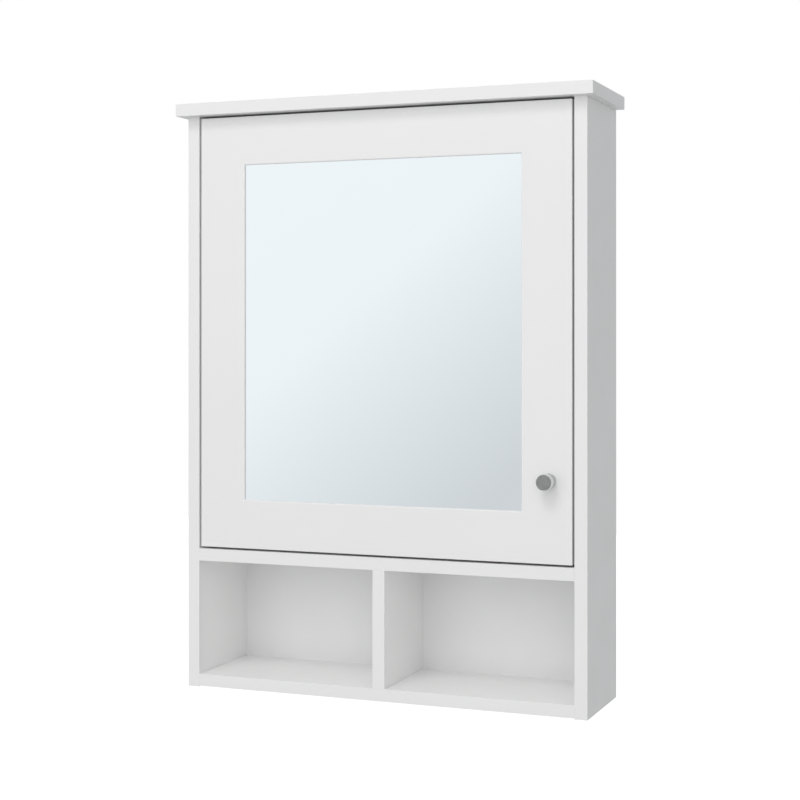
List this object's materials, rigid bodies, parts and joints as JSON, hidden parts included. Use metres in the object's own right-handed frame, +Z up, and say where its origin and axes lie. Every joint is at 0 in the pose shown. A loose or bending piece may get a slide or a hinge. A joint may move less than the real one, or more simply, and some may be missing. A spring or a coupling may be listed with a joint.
{
  "type": "hanging wall cabinet",
  "caption": "Wall-hung cabinet with an inset mirror door on concealed hinges, an adjustable shelf behind it and two open niches below.",
  "frame": {"origin": "on the wall, midway between the two wall screws that the cabinet hangs on", "axes": "+Z up, +Y into the wall, +X to the right as seen from the front; the door faces -Y"},
  "size_m": [0.52, 0.162, 0.715],
  "materials": {
    "white_board": "white satin lacquer on fibreboard",
    "back_board": "white foil on thin fibreboard",
    "backing_board": "bare brown hardboard",
    "beech": "bare beech",
    "mirror": "silvered clear glass",
    "knob_metal": "brushed end, polished side",
    "hinge_steel": "nickel plated",
    "screw_steel": "zinc plated",
    "cam_zinc": "die-cast zinc",
    "white_plastic": "moulded, satin",
    "clip_steel": "spring steel, zinc plated",
    "ferrite": "ferrite block with steel pole plates"
  },
  "bodies": {
    "cabinet": {"side_panel_left": "white_board", "side_panel_right": "white_board", "top_board": "white_board", "middle_board": "white_board", "bottom_board": "white_board", "niche_divider": "white_board", "hanging_rail": "white_board", "back_panel": "back_board", "wood_dowels": "beech", "hinge_plate_lower": "hinge_steel", "hinge_plate_upper": "hinge_steel", "hinge_arm_lower": "hinge_steel", "hinge_arm_upper": "hinge_steel", "hinge_plate_screws": "screw_steel", "hinge_arm_screws": "screw_steel", "catch_screws": "screw_steel", "shelf_pins": "screw_steel", "cam_bolts": "screw_steel", "back_panel_nails": "screw_steel", "cam_housings": "cam_zinc", "cam_caps": "white_plastic", "catch_case": "white_plastic", "catch_magnet": "ferrite"},
    "door": {"door_frame": "white_board", "mirror_glass": "mirror", "mirror_backing": "backing_board", "mirror_clips": "clip_steel", "mirror_clip_screws": "screw_steel", "door_knob": "knob_metal", "knob_screw": "screw_steel", "strike_plate": "hinge_steel", "strike_screw": "screw_steel", "hinge_cup_lower": "hinge_steel", "hinge_cup_upper": "hinge_steel", "hinge_pin_lower": "screw_steel", "hinge_pin_upper": "screw_steel", "hinge_cup_screws_lower": "screw_steel", "hinge_cup_screws_upper": "screw_steel"},
    "shelf": {"adjustable_shelf": "white_board"}
  },
  "joints": [
    {"name": "door_swing", "type": "hinge", "parent": "cabinet", "child": "door", "pos_m": [-0.223, -0.1338, -0.22], "axis": [0, 0, -1], "range_deg": [0, 100]},
    {"name": "shelf_lift", "type": "slide", "parent": "cabinet", "child": "shelf", "axis": [0, 0, 1], "range_m": [0, 0.064]}
  ]
}
